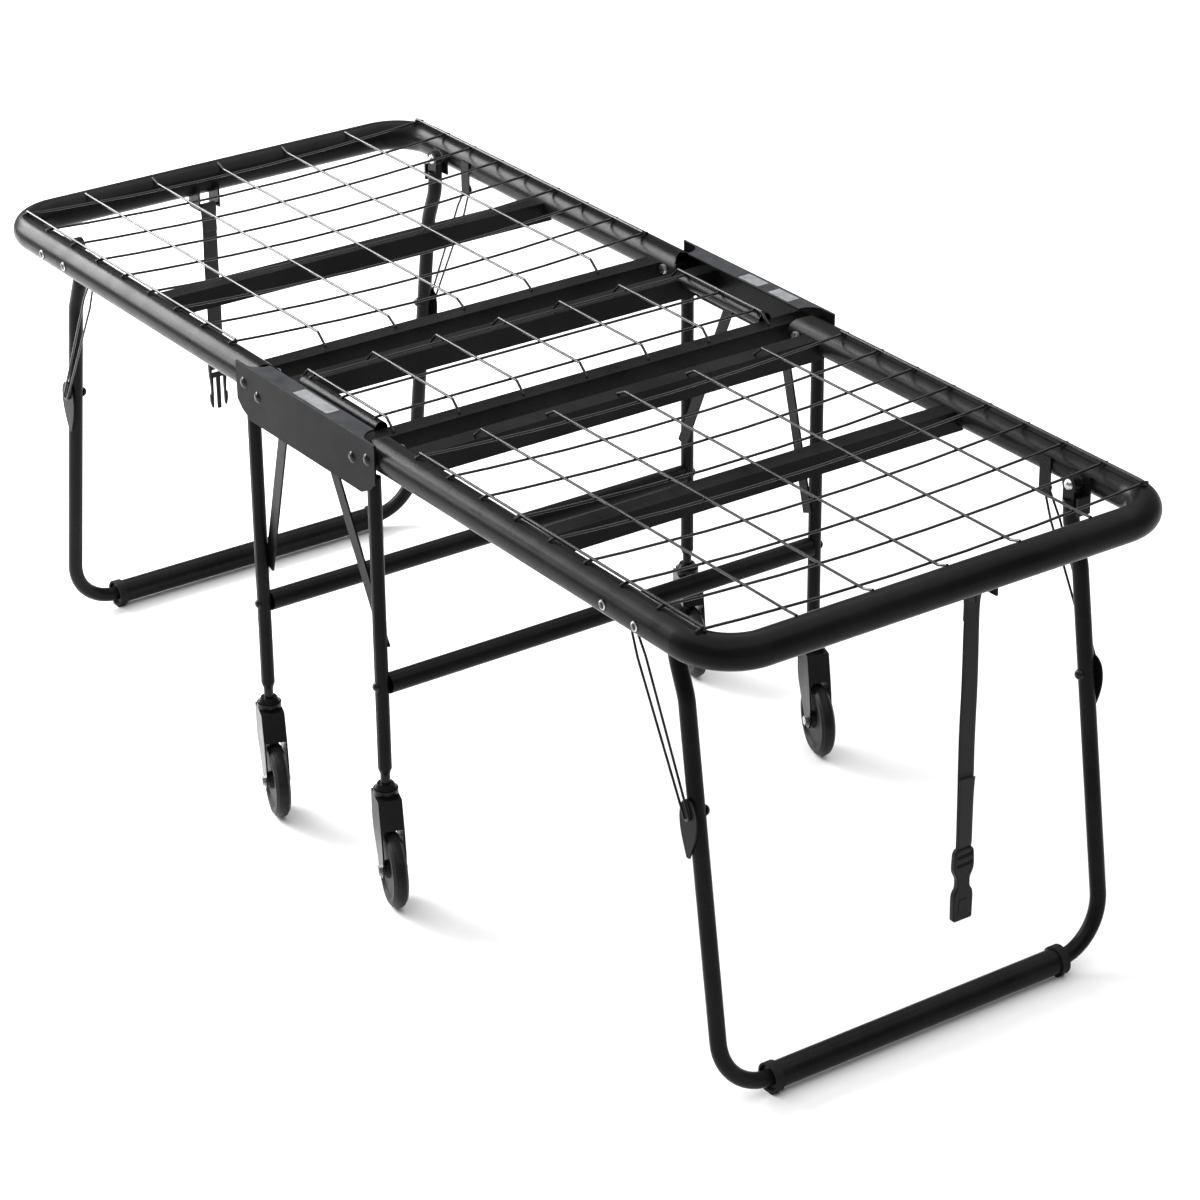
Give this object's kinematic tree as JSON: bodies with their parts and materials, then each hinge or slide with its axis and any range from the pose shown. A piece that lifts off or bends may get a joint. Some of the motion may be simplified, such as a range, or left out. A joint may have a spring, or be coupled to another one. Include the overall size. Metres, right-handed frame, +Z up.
{
  "type": "folding guest bed frame",
  "caption": "Black folding bed frame on casters: welded wire mesh deck, fold-up head and foot sections, fold-in end legs with wire stays, and closing straps.",
  "frame": {"origin": "on the floor under the middle of the deck", "axes": "+X along the bed towards the foot end, +Y across the bed to its far side, +Z up"},
  "size_m": [1.8938, 0.8241, 0.7181],
  "materials": {
    "frame_black": "satin black powder coat",
    "mesh_wire": "satin black powder coat on wire",
    "hardware_steel": "bright zinc plate",
    "fork_black": "black lacquer",
    "wheel_plastic": "moulded black plastic",
    "webbing": "woven black webbing",
    "buckle_plastic": "moulded black plastic",
    "foot_rubber": "matt black rubber"
  },
  "bodies": {
    "base": {"side_channel_near": "frame_black", "side_channel_far": "frame_black", "head_centre_crossbar": "frame_black", "foot_centre_crossbar": "frame_black", "centre_side_tubes": "frame_black", "centre_wire_mesh": "mesh_wire", "post_head_near": "frame_black", "post_head_far": "frame_black", "post_foot_near": "frame_black", "post_foot_far": "frame_black", "head_post_cross_tube": "frame_black", "foot_post_cross_tube": "frame_black", "post_braces_near": "frame_black", "post_braces_far": "frame_black", "frame_rivets": "frame_black", "hinge_bolts": "hardware_steel", "caster_stems": "fork_black"},
    "head_section": {"head_frame_tube": "frame_black", "head_inner_crossbar": "frame_black", "head_mid_crossbar": "frame_black", "head_wire_mesh": "mesh_wire", "head_strap_bracket": "frame_black", "head_pivot_brackets": "frame_black", "head_pivot_bolts": "hardware_steel"},
    "head_leg": {"head_leg_tube": "frame_black", "head_leg_sleeve": "frame_black", "head_leg_feet": "foot_rubber", "head_latch_bolts": "hardware_steel"},
    "head_latches": {"head_latch_plates": "frame_black"},
    "head_stays": {"head_wire_stays": "mesh_wire"},
    "head_strap_hanging": {"head_strap": "webbing", "head_buckle_prongs": "buckle_plastic"},
    "caster_head_near": {"caster_fork_head_near": "fork_black", "caster_axle_head_near": "hardware_steel"},
    "wheel_head_near": {"caster_wheel_head_near": "wheel_plastic"},
    "caster_head_far": {"caster_fork_head_far": "fork_black", "caster_axle_head_far": "hardware_steel"},
    "wheel_head_far": {"caster_wheel_head_far": "wheel_plastic"},
    "foot_section": {"foot_frame_tube": "frame_black", "foot_inner_crossbar": "frame_black", "foot_mid_crossbar": "frame_black", "foot_wire_mesh": "mesh_wire", "foot_strap_bracket": "frame_black", "foot_pivot_brackets": "frame_black", "foot_pivot_bolts": "hardware_steel"},
    "foot_leg": {"foot_leg_tube": "frame_black", "foot_leg_sleeve": "frame_black", "foot_leg_feet": "foot_rubber", "foot_latch_bolts": "hardware_steel"},
    "foot_latches": {"foot_latch_plates": "frame_black"},
    "foot_stays": {"foot_wire_stays": "mesh_wire"},
    "foot_strap_hanging": {"foot_strap": "webbing", "foot_buckle_socket": "buckle_plastic"},
    "caster_foot_near": {"caster_fork_foot_near": "fork_black", "caster_axle_foot_near": "hardware_steel"},
    "wheel_foot_near": {"caster_wheel_foot_near": "wheel_plastic"},
    "caster_foot_far": {"caster_fork_foot_far": "fork_black", "caster_axle_foot_far": "hardware_steel"},
    "wheel_foot_far": {"caster_wheel_foot_far": "wheel_plastic"}
  },
  "joints": [
    {"name": "head_fold", "type": "hinge", "parent": "base", "child": "head_section", "pos_m": [-0.164, 0, 0.686], "axis": [0, 1, 0], "range_deg": [0, 90]},
    {"name": "head_leg_fold", "type": "hinge", "parent": "head_section", "child": "head_leg", "pos_m": [-0.781, 0, 0.684], "axis": [0, -1, 0], "range_deg": [0, 88]},
    {"name": "head_latch_swing", "type": "hinge", "parent": "head_leg", "child": "head_latches", "pos_m": [-0.8277, 0, 0.42], "axis": [0, -1, 0], "range_deg": [-88, 0]},
    {"name": "head_stay_swing", "type": "hinge", "parent": "head_section", "child": "head_stays", "pos_m": [-0.712, 0, 0.648], "axis": [0, -1, 0], "range_deg": [0, 107.5]},
    {"name": "head_strap_swing", "type": "hinge", "parent": "head_section", "child": "head_strap_hanging", "pos_m": [-0.894, 0, 0.65], "axis": [0, 1, 0], "range_deg": [-90, 0]},
    {"name": "head_near_swivel", "type": "hinge", "parent": "base", "child": "caster_head_near", "pos_m": [-0.161, -0.3823, 0.17], "axis": [0, 0, 1], "continuous": true},
    {"name": "head_near_wheel_spin", "type": "hinge", "parent": "caster_head_near", "child": "wheel_head_near", "pos_m": [-0.13263, -0.39207, 0.0575], "axis": [0.3256, 0.9455, 0], "continuous": true},
    {"name": "head_far_swivel", "type": "hinge", "parent": "base", "child": "caster_head_far", "pos_m": [-0.161, 0.3823, 0.17], "axis": [0, 0, 1], "continuous": true},
    {"name": "head_far_wheel_spin", "type": "hinge", "parent": "caster_head_far", "child": "wheel_head_far", "pos_m": [-0.13263, 0.37253, 0.0575], "axis": [0.3256, 0.9455, 0], "continuous": true},
    {"name": "foot_fold", "type": "hinge", "parent": "base", "child": "foot_section", "pos_m": [0.164, 0, 0.686], "axis": [0, -1, 0], "range_deg": [0, 90]},
    {"name": "foot_leg_fold", "type": "hinge", "parent": "foot_section", "child": "foot_leg", "pos_m": [0.781, 0, 0.684], "axis": [0, 1, 0], "range_deg": [0, 88]},
    {"name": "foot_latch_swing", "type": "hinge", "parent": "foot_leg", "child": "foot_latches", "pos_m": [0.8277, 0, 0.42], "axis": [0, 1, 0], "range_deg": [-88, 0]},
    {"name": "foot_stay_swing", "type": "hinge", "parent": "foot_section", "child": "foot_stays", "pos_m": [0.712, 0, 0.648], "axis": [0, 1, 0], "range_deg": [0, 107.5]},
    {"name": "foot_strap_swing", "type": "hinge", "parent": "foot_section", "child": "foot_strap_hanging", "pos_m": [0.894, 0, 0.65], "axis": [0, -1, 0], "range_deg": [-90, 0]},
    {"name": "foot_near_swivel", "type": "hinge", "parent": "base", "child": "caster_foot_near", "pos_m": [0.161, -0.3823, 0.17], "axis": [0, 0, 1], "continuous": true},
    {"name": "foot_near_wheel_spin", "type": "hinge", "parent": "caster_foot_near", "child": "wheel_foot_near", "pos_m": [0.18937, -0.39207, 0.0575], "axis": [0.3256, 0.9455, 0], "continuous": true},
    {"name": "foot_far_swivel", "type": "hinge", "parent": "base", "child": "caster_foot_far", "pos_m": [0.161, 0.3823, 0.17], "axis": [0, 0, 1], "continuous": true},
    {"name": "foot_far_wheel_spin", "type": "hinge", "parent": "caster_foot_far", "child": "wheel_foot_far", "pos_m": [0.18937, 0.37253, 0.0575], "axis": [0.3256, 0.9455, 0], "continuous": true}
  ],
  "couplings": [
    {"joint": "head_latch_swing", "follows": "head_leg_fold", "ratio": -1},
    {"joint": "head_stay_swing", "follows": "head_leg_fold", "ratio": 1.215},
    {"joint": "head_strap_swing", "follows": "head_fold", "ratio": -1},
    {"joint": "foot_latch_swing", "follows": "foot_leg_fold", "ratio": -1},
    {"joint": "foot_stay_swing", "follows": "foot_leg_fold", "ratio": 1.215},
    {"joint": "foot_strap_swing", "follows": "foot_fold", "ratio": -1}
  ]
}
